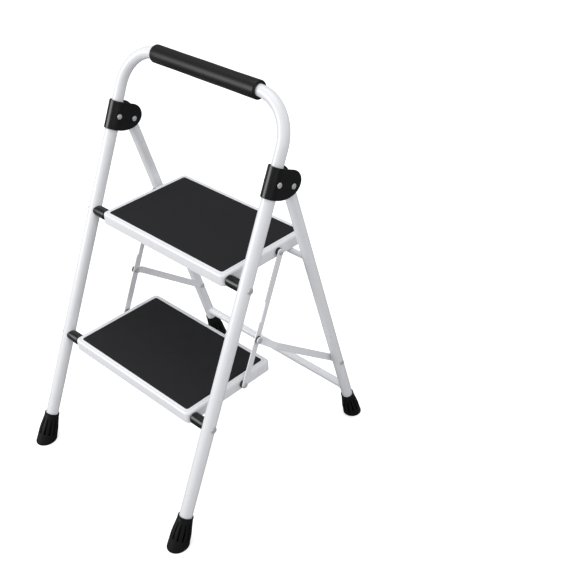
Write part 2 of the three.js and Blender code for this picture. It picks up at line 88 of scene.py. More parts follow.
LOWER_PIVOT, UPPER_PIVOT = JOINTS["lower_step_fold"], JOINTS["upper_step_fold"]
STEP_SPACING = np.linalg.norm(UPPER_PIVOT - LOWER_PIVOT)
leg_line = (UPPER_PIVOT - LOWER_PIVOT) / STEP_SPACING
LOWER_S = LOWER_PIVOT[2] / leg_line[2]
UPPER_S = LOWER_S + STEP_SPACING
ankle = middle("left_link_rivet")
front = Part(LOWER_PIVOT - leg_line * LOWER_S, leg_line)
rear = Part(JOINTS["rear_frame_fold"], JOINTS["rear_frame_fold"] - ankle)
REAR_LENGTH = rear.origin[2] / rear.up[2]
steps = {"lower": Part(LOWER_PIVOT, [0, 0, 1]), "upper": Part(UPPER_PIVOT, [0, 0, 1])}
hanger = Part(JOINTS["left_hanger_pivot"] - leg_line * STEP_SPACING, leg_line)
knee = JOINTS["left_stay_pivot"]
LINK_LENGTH = np.linalg.norm(ankle - knee)
stay = Part(knee, ankle - knee)
LEG_X = 211 * MM
SIDES = (("left", -1.0), ("right", 1.0))
print(f"steps {STEP_SPACING:.4f} apart along the leg, rear leg {REAR_LENGTH:.4f} long")

# %% [markdown]
# Nearly everything on the stool is a closed surface made of rings: a tube, a rivet, a foot, a
# tray. One function joins rows of points into such a surface and closes its ends. A second
# makes flat bars with rounded rims, such as straps. Whole arrays are computed at once, and
# the sign of the enclosed volume tells whether the faces point outwards.

# %% Surfaces from rows of points
def joined(quads, triangles, points):
    """A shell: points and faces, turned over if its volume (sum of a.(b x c) / 6) is negative."""
    fans = np.vstack([triangles, quads[:, [0, 1, 2]], quads[:, [0, 2, 3]]])
    a, b, c = points[fans[:, 0]], points[fans[:, 1]], points[fans[:, 2]]
    if np.einsum("ij,ij->", a - points[0], np.cross(b - points[0], c - points[0])) < 0:
        quads, triangles = quads[:, ::-1], triangles[:, ::-1]
    return points, quads, triangles


def rings(points, loop=False):
    """Closed surface through rows of closed rings, shape (rows, ring, 3).

    Face (i, j) joins points j and j + 1 of rows i and i + 1. With loop the last row joins the
    first; otherwise each end is closed by a fan round the mean of its ring.
    """
    rows, ring = points.shape[:2]
    i = np.arange(rows if loop else rows - 1)[:, None]
    j = np.arange(ring)[None, :]
    after, below = (j + 1) % ring, (i + 1) % rows
    quads = np.stack([i * ring + j, i * ring + after, below * ring + after, below * ring + j], -1)
    flat, fans = points.reshape(-1, 3), np.empty((0, 3), int)
    if not loop:
        j, after = j[0], after[0]
        last, count = (rows - 1) * ring, len(flat)
        flat = np.vstack([flat, points[0].mean(0), points[-1].mean(0)])
        fans = np.vstack([
            np.stack([after, j, 0 * j + count], -1),
            np.stack([last + j, last + after, 0 * j + count + 1], -1),
        ])
    return joined(quads.reshape(-1, 4), fans, flat)


FLAT_START = 2.2       # where the flat of a plate begins, in edge radii from its rim


def plate(along, low, high, half, edge, bend):
    """Flat bar with a rounded rim: low <= across <= high at each station along it.

    The rim runs inwards by edge (1 - sin t) while the thickness falls by edge (1 - cos t), and
    bend(along, across, thickness) carries the flat bar into the room.
    """
    outline = np.vstack([np.stack([along, high], -1), np.stack([along, low], -1)[::-1]])
    tangent = np.roll(outline, -1, 0) - np.roll(outline, 1, 0)
    tangent /= np.linalg.norm(tangent, axis=1, keepdims=True)
    inward = np.stack([tangent[:, 1], -tangent[:, 0]], -1)
    t = np.linspace(0, math.pi / 2, 5)
    inset = np.append(FLAT_START * edge, edge * (1 - np.sin(t)))
    depth = np.append(half, half - edge * (1 - np.cos(t)))
    inset, depth = np.append(inset, inset[::-1]), np.append(depth, -depth[::-1])
    rim = outline + inward * inset[:, None, None]
    points = bend(rim[..., 0], rim[..., 1], depth[:, None] + 0 * rim[..., 0])
    rows, ring = rim.shape[:2]
    i, j = np.arange(rows - 1)[:, None], np.arange(ring)[None, :]
    after = (j + 1) % ring
    here, below = i * ring, (i + 1) * ring
    wall = np.stack([here + j, here + after, below + after, below + j], -1)
    k = np.arange(len(along) - 1)
    top = np.stack([k + 1, k, ring - 1 - k, ring - 2 - k], -1)
    bottom = top[:, ::-1] + (rows - 1) * ring
    quads = np.vstack([wall.reshape(-1, 4), top, bottom])
    return joined(quads, np.empty((0, 3), int), points.reshape(-1, 3))


def rounded(corners, radii, closed=False, arc=6):
    """Polyline whose corners are replaced by arcs that touch both sides.

    With unit directions a and b from a corner to its neighbours, and h half the angle between
    them, the arc's centre is corner + (a + b) / |a + b| * r / sin h, and it starts at
    corner + a r / tan h. The arc is swept by blending its first and last spokes.
    """
    corners, out = np.asarray(corners, float), []
    for i, r in enumerate(np.broadcast_to(radii, len(corners))):
        if r == 0 or (not closed and i in (0, len(corners) - 1)):
            out.append(corners[i:i + 1])
            continue
        a, b = (corners[(i + s) % len(corners)] - corners[i] for s in (-1, 1))
        a, b = a / np.linalg.norm(a), b / np.linalg.norm(b)
        h = math.acos(np.clip(a @ b, -1, 1)) / 2
        centre = corners[i] + (a + b) / np.linalg.norm(a + b) * r / math.sin(h)
        first, last = (corners[i] + d * r / math.tan(h) - centre for d in (a, b))
        sweep = math.pi - 2 * h
        t = np.linspace(0, sweep, arc + 1)[:, None]
        out.append(centre + (np.sin(sweep - t) * first + np.sin(t) * last) / math.sin(sweep))
    return np.vstack(out)


def turned(profile, sides=64, axis="up"):
    """Rows of a surface of revolution from (radius, distance along the axis) pairs."""
    r, d = np.asarray(profile, float).T[:, :, None]
    t = np.arange(sides) * 2 * math.pi / sides
    round_a, round_b = r * np.cos(t), r * np.sin(t)
    along = d + 0 * t
    order = [round_a, round_b, along] if axis == "up" else [along, round_a, round_b]
    return np.stack(order, -1)


print("surface tools ready")

# %% [markdown]
# A finished piece becomes one Blender object at the origin, with its place in its vertices.
# It rides on the same body as the CAD nodes it stands for, takes their material slot, and
# hides them. Smooth shading rounds the facets, and edges sharper than 40 degrees stay crisp.

# %% Turn shells into pieces of the stool
CRISP = math.radians(40)
NODE_BODY = {n: b for b, ns in frame["record"]["behaviour"]["bodies"].items() for n in ns}
MATERIALS = {}
made = {}


def piece(name, shells, nodes, slot):
    """One object from closed shells, standing for CAD nodes and riding on their body."""
    name = name.replace(" ", "_")
    points, faces, start = [], [], 0
    for flat, quads, triangles in shells:
        points.append(flat)
        faces += (quads + start).tolist() + (triangles + start).tolist()
        start += len(flat)
    mesh = bpy.data.meshes.new(name)
    mesh.from_pydata(np.vstack(points), [], faces)
    mesh.polygons.foreach_set("use_smooth", np.ones(len(faces), bool))
    mesh.set_sharp_from_angle(angle=CRISP)
    mesh.validate()
    obj = bpy.data.objects.new(name, mesh)
    bpy.context.scene.collection.objects.link(obj)
    mesh.materials.append(MATERIALS[slot])
    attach(obj, NODE_BODY[nodes[0]])
    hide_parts(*nodes)
    made[name] = len(faces)
    return obj


# %% [markdown]
# ## Materials
# Powder coat, moulded plastic, rubber and foam all show fine relief up close, and all scuff a
# little at their edges. Those two effects are node groups, built once: one gives a grain
# height and a slow patchy mask, the other a mask that grows on outside corners.

# %% Node groups for grain and rubbed edges
def group(name, inputs, outputs):
    """Empty shader group with a Vector input, float inputs (name, default) and float outputs."""
    tree = bpy.data.node_groups.new(name, "ShaderNodeTree")
    tree.interface.new_socket("Vector", in_out="INPUT", socket_type="NodeSocketVector")
    for label, value in inputs:
        socket = tree.interface.new_socket(label, in_out="INPUT", socket_type="NodeSocketFloat")
        socket.default_value = value
    for label in outputs:
        tree.interface.new_socket(label, in_out="OUTPUT", socket_type="NodeSocketFloat")
    return tree, tree.nodes.new("NodeGroupInput").outputs, tree.nodes.new("NodeGroupOutput").inputs


def node(tree, kind, links=(), **values):
    """Add a node, set its properties and named inputs, and link sockets into it."""
    new = tree.nodes.new(kind)
    for key, value in values.items():
        if hasattr(new, key):
            setattr(new, key, value)
        else:
            new.inputs[key.replace("_", " ")].default_value = value
    for socket, source in dict(links).items():
        tree.links.new(source, new.inputs[socket])
    return new


def spread(tree, source, low, high, from_low=0.0, from_high=1.0):
    """Map Range node from one span to another."""
    new = node(tree, "ShaderNodeMapRange", {0: source})
    for index, value in zip((1, 2, 3, 4), (from_low, from_high, low, high)):
        new.inputs[index].default_value = value
    return new.outputs[0]


grain, given, put = group("surface grain", [("Grain Scale", 900), ("Patch Scale", 9)],
                          ["Height", "Patches"])
fine = node(grain, "ShaderNodeTexNoise",
            {"Vector": given["Vector"], "Scale": given["Grain Scale"]}, Detail=3.0)
slow = node(grain, "ShaderNodeTexNoise",
            {"Vector": given["Vector"], "Scale": given["Patch Scale"]}, Detail=5.0, Roughness=0.6)
grain.links.new(fine.outputs[0], put["Height"])
grain.links.new(spread(grain, slow.outputs[0], 0, 1, 0.35, 0.65), put["Patches"])

rub, given, put = group("rubbed edges", [("Edge Start", 0.53), ("Edge Full", 0.62)], ["Mask"])
pointed = node(rub, "ShaderNodeNewGeometry").outputs["Pointiness"]
corner = node(rub, "ShaderNodeMapRange",
              {0: pointed, 1: given["Edge Start"], 2: given["Edge Full"]})
broken = node(rub, "ShaderNodeTexNoise", {"Vector": given["Vector"]}, Scale=130.0, Detail=4.0)
masked = node(rub, "ShaderNodeMath", {0: corner.outputs[0],
                                      1: spread(rub, broken.outputs[0], 0, 1, 0.42, 0.6)})
masked.operation = "MULTIPLY"
rub.links.new(masked.outputs[0], put["Mask"])
print("groups", [g.name for g in bpy.data.node_groups])

# %% [markdown]
# Each finish then mixes two close colours by those masks, moves its roughness a little in
# patches, and raises the grain with a Bump node. Values that don't change over the surface
# sit directly on the Principled sockets.

# %% One function for every finish
MIX_A, MIX_B, MIX_OUT = 6, 7, 2        # a Mix node's colour sockets
MIX_FLOAT_A, MIX_FLOAT_B = 2, 3        # its float sockets, in the same node


def finish(slot, colour, rubbed, roughness, relief, grain_scale, constants=(), patch=0.04,
           height=None):
    """Principled material: colour to rubbed colour, roughness (low, high), relief in metres."""
    material = bpy.data.materials.new(slot)
    material.use_nodes = True
    tree = material.node_tree
    shader = tree.nodes["Principled BSDF"]
    place = node(tree, "ShaderNodeTexCoord").outputs["Object"]
    marks = node(tree, "ShaderNodeGroup", node_tree=grain)
    edges = node(tree, "ShaderNodeGroup", node_tree=rub)
    for each in (marks, edges):
        tree.links.new(place, each.inputs["Vector"])
    marks.inputs["Grain Scale"].default_value = grain_scale
    tint = node(tree, "ShaderNodeMix", {0: marks.outputs["Patches"]}, data_type="RGBA")
    dim = [c * (1 - patch) for c in colour]
    tint.inputs[MIX_A].default_value, tint.inputs[MIX_B].default_value = (*dim, 1), (*colour, 1)
    worn = node(tree, "ShaderNodeMix", {0: edges.outputs["Mask"], MIX_A: tint.outputs[MIX_OUT]},
                data_type="RGBA")
    worn.inputs[MIX_B].default_value = (*rubbed, 1)
    tree.links.new(worn.outputs[MIX_OUT], shader.inputs["Base Color"])
    rough = spread(tree, marks.outputs["Patches"], *roughness)
    tree.links.new(rough, shader.inputs["Roughness"])
    raised = height(tree, place, marks.outputs["Height"]) if height else marks.outputs["Height"]
    bump = node(tree, "ShaderNodeBump", {"Height": raised}, Distance=relief, Strength=1.0)
    tree.links.new(bump.outputs[0], shader.inputs["Normal"])
    for name, value in dict(constants).items():
        shader.inputs[name].default_value = value
    MATERIALS[slot] = material


def cells(scale, share):
    """Height function: foam bubbles or mat pips (distance to cell centres) mixed into the grain."""
    def height(tree, place, base):
        bubble = node(tree, "ShaderNodeTexVoronoi", {"Vector": place}, Scale=scale)
        both = node(tree, "ShaderNodeMix",
                    {MIX_FLOAT_A: base, MIX_FLOAT_B: bubble.outputs["Distance"]})
        both.inputs[0].default_value = share
        return both.outputs[0]
    return height


MICRON = 0.000001
finish("white_coat", (0.82, 0.82, 0.84), (0.78, 0.78, 0.80), (0.26, 0.30), 6 * MICRON, 420,
       {"Coat Weight": 0.2, "Coat Roughness": 0.12}, patch=0.008)
finish("black_plastic", (0.004, 0.004, 0.0048), (0.014, 0.014, 0.015), (0.25, 0.31),
       20 * MICRON, 1300, {"Specular IOR Level": 0.65})
finish("black_rubber", (0.005, 0.005, 0.0055), (0.02, 0.02, 0.021), (0.42, 0.56),
       60 * MICRON, 700, {"Specular IOR Level": 0.35})
finish("foam_grip", (0.004, 0.004, 0.0048), (0.010, 0.010, 0.011), (0.38, 0.44),
       50 * MICRON, 500, {"Specular IOR Level": 0.5}, height=cells(1500, 0.5))
finish("step_mat", (0.017, 0.017, 0.0185), (0.032, 0.032, 0.034), (0.74, 0.86),
       120 * MICRON, 900, {"Specular IOR Level": 0.25}, height=cells(1100, 0.6))
finish("zinc_steel", (0.78, 0.79, 0.81), (0.86, 0.87, 0.88), (0.22, 0.34), 30 * MICRON, 1600,
       {"Metallic": 0.55})
print("finishes", sorted(MATERIALS))

# %% [markdown]
# ## Front legs and handle
# The front legs are straight steel tubes. The handle is a hoop of slightly thinner tube whose
# ends plug into them. A tube is a small rounded rectangle, the wall's section, turned round
# the leg; the hoop is a ring carried along its bent path, out along the outside and back
# along the bore.

# %% Tubes
FRONT_R, REAR_R, HANDLE_R, WALL = 12.5 * MM, 11 * MM, 11 * MM, 1.2 * MM
LEG_LOW, FRONT_LEG_TOP, TUBE_SIDES = 14 * MM, 715 * MM, 72


def tube(radius, low, high):
    """Open tube along the leg, its wall's ends rounded; call it with a part and a shift."""
    wall = [(radius, low), (radius, high), (radius - WALL, high), (radius - WALL, low)]
    rows = turned(rounded(wall, 0.45 * MM, closed=True, arc=3), TUBE_SIDES)
    return lambda part, shift: rings(part(rows, shift), loop=True)


for label, side in SIDES:
    leg = tube(FRONT_R, LEG_LOW, FRONT_LEG_TOP)(front, (side * LEG_X, 0, 0))
    piece(f"{label} front leg tube", [leg], [f"{label}_front_leg"], "white_coat")

HANDLE_TOP, HANDLE_BEND, PLUG = 834 * MM, 77 * MM, 640 * MM
t = np.linspace(0, math.pi / 2, 20)
bend_x, bend_s = LEG_X - HANDLE_BEND, HANDLE_TOP - HANDLE_BEND
quarter = np.stack([bend_x + HANDLE_BEND * np.cos(t), bend_s + HANDLE_BEND * np.sin(t)], -1)
right_half = np.vstack([[(LEG_X, PLUG)], quarter])
path = np.vstack([right_half, right_half[::-1] * [-1, 1]])
run = np.gradient(path, axis=0)
run /= np.linalg.norm(run, axis=1, keepdims=True)


def hoop(radius):
    """Rings of a given radius round the handle path; out of its plane is the back direction."""
    a = np.arange(48) * 2 * math.pi / 48
    away = np.stack([run[:, 1], -run[:, 0]], -1)
    flat = path[:, None] + radius * np.cos(a)[None, :, None] * away[:, None]
    back = np.broadcast_to(radius * np.sin(a), flat.shape[:2])
    return np.stack([flat[..., 0], back, flat[..., 1]], -1)


rows = np.vstack([hoop(HANDLE_R), hoop(HANDLE_R - WALL)[::-1]])
piece("handle hoop", [rings(front(rows), loop=True)], ["handle_tube"], "white_coat")
print("tubes", made)

# %% [markdown]
# The grip is a foam sleeve pushed over the hoop. It is soft, so its end rims are round, its
# radius wavers by a tenth of a millimetre, and its bore stands a hair off the tube.

# %% Foam grip
GRIP_R, GRIP_HALF = 17 * MM, 134 * MM
x = np.linspace(-GRIP_HALF, GRIP_HALF, 50)[1:-1]
SWELL, BORE_GAP = 0.12 * MM, 0.35 * MM
swell = SWELL * np.cos(x / GRIP_HALF * 7)
outside = np.stack([GRIP_R - 0.15 * MM + swell, x], -1)[3:-3]
bore = HANDLE_R + BORE_GAP
ends = rounded([(bore, 0), (bore, -GRIP_HALF), (GRIP_R, -GRIP_HALF), (GRIP_R, 0)],
               [0, 1 * MM, 2.6 * MM, 0])[1:-1]
profile = np.vstack([ends, outside, ends[::-1] * [1, -1]])
sleeve_rows = front(turned(profile, TUBE_SIDES, "x"), (0, 0, HANDLE_TOP))
grip = piece("foam grip", [rings(sleeve_rows, loop=True)], ["handle_grip"], "foam_grip")
print("grip faces", made["foam_grip"])

# %% [markdown]
# ## Brackets
# A bracket is a thick plastic strap wrapped round the front of the leg. Its two cheeks run
# back past the tube and end in a D, with the rear leg pivoting between them. So it is a flat
# plate, as tall as the D at each station, bent round a U-shaped path.

# %% Brackets
CHEEK, CHEEK_HALF = 14 * MM, 1.2 * MM
BRACKET_S, PIVOT_BACK = 699 * MM, 36.5 * MM
D_BACK, D_TOP, D_BOTTOM, D_MIDDLE = 54 * MM, 28 * MM, -27 * MM, 5 * MM
TOP_BENDS, BOTTOM_BENDS = 28 * MM, 5 * MM      # how far back each edge of the D starts to fall


def follow(path):
    """Bend along a plane path: length a and offset t give path(a) + t normal(a)."""
    length = np.append(0, np.cumsum(np.linalg.norm(np.diff(path, axis=0), axis=1)))
    tangent = np.gradient(path, length, axis=0)
    normal = np.stack([tangent[:, 1], -tangent[:, 0]], -1)
    normal /= np.linalg.norm(normal, axis=1, keepdims=True)

    def place(a, t):
        on, off = ([np.interp(a, length, v[:, k]) for k in (0, 1)] for v in (path, normal))
        return [p + t * q for p, q in zip(on, off)]
    return length, place


cheek_back = TOP_BENDS + (D_BACK - TOP_BENDS) * np.sin(np.linspace(math.radians(86), 0, 22))
cheek_back = np.append(cheek_back, np.linspace(26 * MM, 0, 14))
turn = np.linspace(0, math.pi, 37)[1:-1]
wrap = np.stack([CHEEK * np.cos(turn), -CHEEK * np.sin(turn)], -1)
cheek = np.stack([CHEEK + 0 * cheek_back, cheek_back], -1)
u_path = np.vstack([cheek, wrap, cheek[::-1] * [-1, 1]])
length, u_place = follow(u_path)


def quarter_ellipse(p, start, height):
    """Height left at p beyond start, on an ellipse that reaches zero at the back of the D."""
    share = np.clip((p - start) / (D_BACK - start), 0, 1)
    return height * np.sqrt(1 - share ** 2)


p = u_path[:, 1]
top = D_MIDDLE + quarter_ellipse(p, TOP_BENDS, D_TOP - D_MIDDLE)
bottom = D_MIDDLE - quarter_ellipse(p, BOTTOM_BENDS, D_MIDDLE - D_BOTTOM)


def wrap_round(a, b, t):
    """Flat bracket to its U: a along the path, b up the leg, t out of the plate."""
    x, back = u_place(a, t)
    return np.stack([x, back, b], -1)


saddle_points, saddle_quads, saddle_fans = plate(length, bottom, top, CHEEK_HALF, 0.8 * MM,
                                                 wrap_round)


def shell_at(part, rows, side, shift, loop=False):
    """Rings of a right-hand piece, mirrored to its side, moved and joined."""
    return rings(part(rows * [side, 1, 1], shift), loop)


for label, side in SIDES:
    at = np.array([side * LEG_X, 0, BRACKET_S])
    piece(f"{label} bracket wrap", [joined(saddle_quads, saddle_fans, front(saddle_points, at))],
          [f"{label}_bracket"], "black_plastic")
print("bracket faces", made["left_bracket_wrap"])

# %% [markdown]
# ## Rivets and rods
# All pivots are rivets: a shank with a low dome at each end, and a small dimple where it was
# set. Each is one profile turned round its axis. The step rods are the same at a larger size,
# with one head outside the leg and one inside the step.

# %% Rivets
GAP, TRAY_HALF, ROUND = 0.3 * MM, 170 * MM, 40
STRAP_X, STRAP_HALF_THICK, LINK_X, LINK_FOOT_X = 177.2 * MM, 1.25 * MM, 183.3 * MM, 198.45 * MM
STRAP_BACK, STRAP_UP, LINK_UP, LINK_DOWN = 122 * MM, 1 * MM, 94.5 * MM, 473 * MM
RIVET_R, HEAD, BRACKET_SIDE = 3 * MM, (5.2 * MM, 2.4 * MM), 15.5 * MM
ROD_R, ROD_INNER, ROD_OUTER = 4 * MM, (4.8 * MM, 2 * MM), (6.2 * MM, 2.8 * MM)
IN_WALL = TRAY_HALF - 1.8 * MM         # inner face of the tray wall, with its gap


def dome(radius, height):
    """(radius, distance) pairs of a rivet head, from its rim to a dimple at its middle."""
    a = np.linspace(0, math.radians(72), 8)
    rise = height * (0.25 + 0.75 * np.sin(a) / math.sin(a[-1]))
    rim = [(radius - 0.25 * MM, 0), (radius, 0.12 * height)]
    dimple = [(0.29 * radius, 0.94 * height), (0.22 * radius, 0.66 * height),
              (0.03 * radius, 0.58 * height)]
    return np.vstack([rim, np.stack([radius * np.cos(a), rise], -1), dimple])


def rivet(shank, inner_x, outer_x, inner=HEAD, outer=HEAD):
    """Rows of a rivet along X: inner dome, shank, outer dome."""
    inside = (dome(*inner) * [1, -1] + [0, inner_x])[::-1]
    outside = dome(*outer) + [0, outer_x]
    return turned(np.vstack([inside, [(shank, inner_x), (shank, outer_x)], outside]), ROUND, "x")


across_bracket = rivet(RIVET_R, -BRACKET_SIDE, BRACKET_SIDE)
step_rod = rivet(ROD_R, IN_WALL - LEG_X, FRONT_R + GAP, ROD_INNER, ROD_OUTER)
strap_rivet = rivet(RIVET_R, IN_WALL, STRAP_X + STRAP_HALF_THICK + GAP)
link_pivot = rivet(RIVET_R, STRAP_X - STRAP_HALF_THICK - GAP, LINK_X + STRAP_HALF_THICK + GAP)
leg_side = turned(np.vstack([[(RIVET_R, -REAR_R + GAP), (RIVET_R, REAR_R + GAP)],
                             dome(*HEAD) + [0, REAR_R + GAP]]), ROUND, "x")
head_x = LINK_FOOT_X - STRAP_HALF_THICK - GAP
link_head = turned(np.vstack([(dome(*HEAD) * [1, -1] + [0, head_x])[::-1],
                              [(RIVET_R, head_x), (RIVET_R, head_x + 2.8 * MM)]]), ROUND, "x")

for label, side in SIDES:
    at = np.array([side * LEG_X, 0, 0])
    for name, rows, place in (
        ("bracket_rivet", across_bracket, [0, 0, BRACKET_S]),
        ("rear_leg_rivet", across_bracket, [0, PIVOT_BACK, BRACKET_S]),
        ("lower_step_rod", step_rod, [0, 0, LOWER_S]),
        ("upper_step_rod", step_rod, [0, 0, UPPER_S]),
    ):
        piece(f"{label} {name.replace('_', ' ')} steel", [shell_at(front, rows, side, at + place)],
              [f"{label}_{name}"], "zinc_steel")
    piece(f"{label} link rivet steel", [shell_at(rear, leg_side, side, at - [0, 0, LINK_DOWN])],
          [f"{label}_link_rivet"], "zinc_steel")
    for level, part in steps.items():
        piece(f"{label} {level} strap rivet steel",
              [shell_at(part, strap_rivet, side, [0, STRAP_BACK, STRAP_UP])],
              [f"{label}_{level}_strap_rivet"], "zinc_steel")
    piece(f"{label} link pivot steel", [shell_at(hanger, link_pivot, side, [0, 0, LINK_UP])],
          [f"{label}_link_pivot"], "zinc_steel")
    piece(f"{label} link head steel", [shell_at(stay, link_head, side, [0, 0, LINK_LENGTH])],
          [f"{label}_link_head"], "zinc_steel")
print("rivets and rods", sum("steel" in name for name in made))

# %% [markdown]
# ## Sleeves and washers
# Each step hangs on its rods through black plastic sleeves. A sleeve is round at the step and
# hollowed at the leg, so its last rings follow the tube: at height p beside the tube's axis
# the tube's surface stands sqrt(R^2 - p^2) out from it. Small black washers keep the straps
# off the steps and the links off the straps.

# %% Sleeves and washers
def against_tube(rows, radius, columns, inset):
    """Move the given rows of X-wise rings onto a tube of that radius along the up direction."""
    rows = rows.copy()
    for row, gap in zip(columns, inset):
        rows[row, :, 0] = -np.sqrt(radius ** 2 - rows[row, :, 1] ** 2) - gap
    return rows


SLEEVE_R, ROD_BORE, RIVET_BORE, WASHER_R = 11 * MM, 4.5 * MM, 3.3 * MM, 7.2 * MM
near_step = TRAY_HALF - LEG_X + GAP
sleeve_profile = np.vstack([
    rounded([(ROD_BORE, near_step), (SLEEVE_R, near_step), (SLEEVE_R, -20 * MM)],
            [0, 3.6 * MM, 0], arc=8),
    [(SLEEVE_R, -17 * MM), (SLEEVE_R - 0.2 * MM, -15 * MM), (SLEEVE_R - 0.8 * MM, -14 * MM),
     (ROD_BORE, -13 * MM)],
])
sleeve = against_tube(turned(sleeve_profile, 64, "x"), FRONT_R + GAP, (-3, -2, -1),
                      (0.7 * MM, 0.05 * MM, 0.05 * MM))


def washer(radius, low, high):
    """Rows of a flat ring round a rivet, with softened rims."""
    profile = [(RIVET_BORE, low), (radius, low), (radius, high), (RIVET_BORE, high)]
    soft = [0.1 * MM, 0.8 * MM, 0.8 * MM, 0.1 * MM]
    return turned(rounded(profile, soft, closed=True, arc=4), ROUND, "x")


strap_washer = washer(WASHER_R, TRAY_HALF + GAP, STRAP_X - STRAP_HALF_THICK - GAP)
link_washer = washer(WASHER_R, STRAP_X + STRAP_HALF_THICK + GAP, LINK_X - STRAP_HALF_THICK - GAP)
for label, side in SIDES:
    for level, s in (("lower", LOWER_S), ("upper", UPPER_S)):
        piece(f"{label} {level} round sleeve",
              [shell_at(front, sleeve, side, [side * LEG_X, 0, s])],
              [f"{label}_{level}_sleeve"], "black_plastic")
        piece(f"{label} {level} strap spacer",
              [shell_at(steps[level], strap_washer, side, [0, STRAP_BACK, STRAP_UP], loop=True)],
              [f"{label}_{level}_washer"], "black_plastic")
    piece(f"{label} link spacer", [shell_at(hanger, link_washer, side, [0, 0, LINK_UP], loop=True)],
          [f"{label}_link_washer"], "black_plastic")
print("sleeve faces", made["left_lower_round_sleeve"])

# %% [markdown]
# ## Steps
# A step is a sheet-steel tray pressed upside down: soft round shoulders, straight walls, a
# folded hem and a shallow recess for the mat. Every level of it is a rounded rectangle, so
# the tray is a stack of such rings, from the middle of the deck out over the rim, down the
# wall, round the hem and back along the underside.

# %% Trays, mats and braces
FRONT_EDGE, BACK_EDGE, TRAY_TOP, TRAY_BOTTOM = -13 * MM, 198 * MM, 12.8 * MM, -10.2 * MM
MAT_HALF, MAT_FRONT, MAT_BACK = 158 * MM, -3.5 * MM, 187.5 * MM
TRAY_CORNER, MAT_CORNER, SMALLEST_CORNER = 10 * MM, 5 * MM, 0.4 * MM
SHEET, RECESS, SHOULDER, SHOULDER_DROP = 1.5 * MM, 1.6 * MM, 4.5 * MM, 0.9 * MM
MIDDLE_INSET = 20 * MM                 # the innermost ring, closed by a fan


def rectangle(half, near, far, corner, z, inset=0.0, arc=10):
    """Closed ring: rectangle -half..half by near..far, shrunk by inset, with round corners."""
    half, near, far = half - inset, near + inset, far - inset
    corner = max(corner - inset, SMALLEST_CORNER)
    a = np.linspace(0, math.pi / 2, arc + 1)
    low, high = near + corner, far - corner
    ring = []
    for k, (sx, y) in enumerate(((1, high), (-1, high), (-1, low), (1, low))):
        turn = a + k * math.pi / 2
        ring.append(np.stack([sx * (half - corner) + corner * np.cos(turn),
                              y + corner * np.sin(turn), 0 * a + z], -1))
    return np.vstack(ring)


def tray_ring(inset, z):
    return rectangle(TRAY_HALF, FRONT_EDGE, BACK_EDGE, TRAY_CORNER, z, inset)


def mat_ring(inset, z):
    return rectangle(MAT_HALF, MAT_FRONT, MAT_BACK, MAT_CORNER, z, inset)


deck = TRAY_TOP - RECESS
shoulder_top = TRAY_TOP - SHOULDER_DROP
below_rim = shoulder_top - SHEET
recess = rounded([(4 * MM, deck), (0, deck), (0, TRAY_TOP), (-2.6 * MM, TRAY_TOP),
                  (-3.6 * MM, shoulder_top)],
                 [0, 0.4 * MM, 1.1 * MM, 0.9 * MM, 0])
outside = rounded([(SHOULDER, shoulder_top), (0, shoulder_top), (0, TRAY_BOTTOM),
                   (SHEET, TRAY_BOTTOM), (SHEET, below_rim), (9 * MM, below_rim)],
                  [0, SHOULDER, 0.7 * MM, 0.7 * MM, SHOULDER - SHEET, 0], arc=8)
underside = [(1 * MM, below_rim), (1.8 * MM, below_rim - 0.3 * MM), (2.2 * MM, deck - SHEET),
             (MIDDLE_INSET, deck - SHEET)]
tray = np.stack([mat_ring(*r) for r in recess] + [tray_ring(*r) for r in outside]
                + [mat_ring(*r) for r in underside])
mat_low = deck + GAP
mat_top = mat_low + SHEET
mat_side = rounded([(MIDDLE_INSET, mat_low), (0.3 * MM, mat_low), (0.3 * MM, mat_top),
                    (MIDDLE_INSET, mat_top)], [0, 0.2 * MM, 0.7 * MM, 0])
mat = np.stack([mat_ring(*r) for r in mat_side])

BRACE_MIDDLE, BRACE_HALF, BRACE_END, BRACE_BOTTOM = 62 * MM, 14 * MM, 160 * MM, -6 * MM
half_sheet = SHEET / 2
brace_top = deck - SHEET - GAP - half_sheet
front_wall = BRACE_MIDDLE - BRACE_HALF + half_sheet
back_wall = BRACE_MIDDLE + BRACE_HALF - half_sheet
channel = rounded([(front_wall, BRACE_BOTTOM), (front_wall, brace_top), (back_wall, brace_top),
                   (back_wall, BRACE_BOTTOM)], [0, 2.2 * MM, 2.2 * MM, 0])
brace_length, brace_place = follow(channel)


def fold_channel(a, b, t):
    """Flat strip to its channel: a round the section, b across the step."""
    back, up = brace_place(a, t)
    return np.stack([b, back, up], -1)


brace_end = BRACE_END + 0 * brace_length
brace = plate(brace_length, -brace_end, brace_end, half_sheet, 0.35 * MM, fold_channel)
for level, part in steps.items():
    piece(f"{level} pressed tray", [rings(part(tray))], [f"{level}_tray"], "white_coat")
    piece(f"{level} ribbed mat", [rings(part(mat))], [f"{level}_mat"], "step_mat")
    piece(f"{level} brace", [joined(brace[1], brace[2], part(brace[0]))],
          [f"{level}_tray_brace"], "white_coat")
print("tray faces", made["lower_pressed_tray"])

# %% [markdown]
# ## Straps and links
# The straps tie the two steps together so that they fold as one, and the links tie the straps
# to the rear frame. Both are flat bars with round ends. A strap has a shallow notch in its
# front edge, which clears the upper sleeve when the stool is folded, and a link steps
# outwards just past the strap, so that it meets the inner side of the rear leg.

# %% Straps and links
STRAP_HALF, LINK_HALF, BAR_EDGE = 6.75 * MM, 7 * MM, 0.5 * MM
JOGGLE_START, JOGGLE_END = 8 * MM, 39 * MM
NOTCH_LOW, NOTCH_HIGH, NOTCH_DEPTH, NOTCH_RAMP = 125 * MM, 171 * MM, 3.2 * MM, 5 * MM


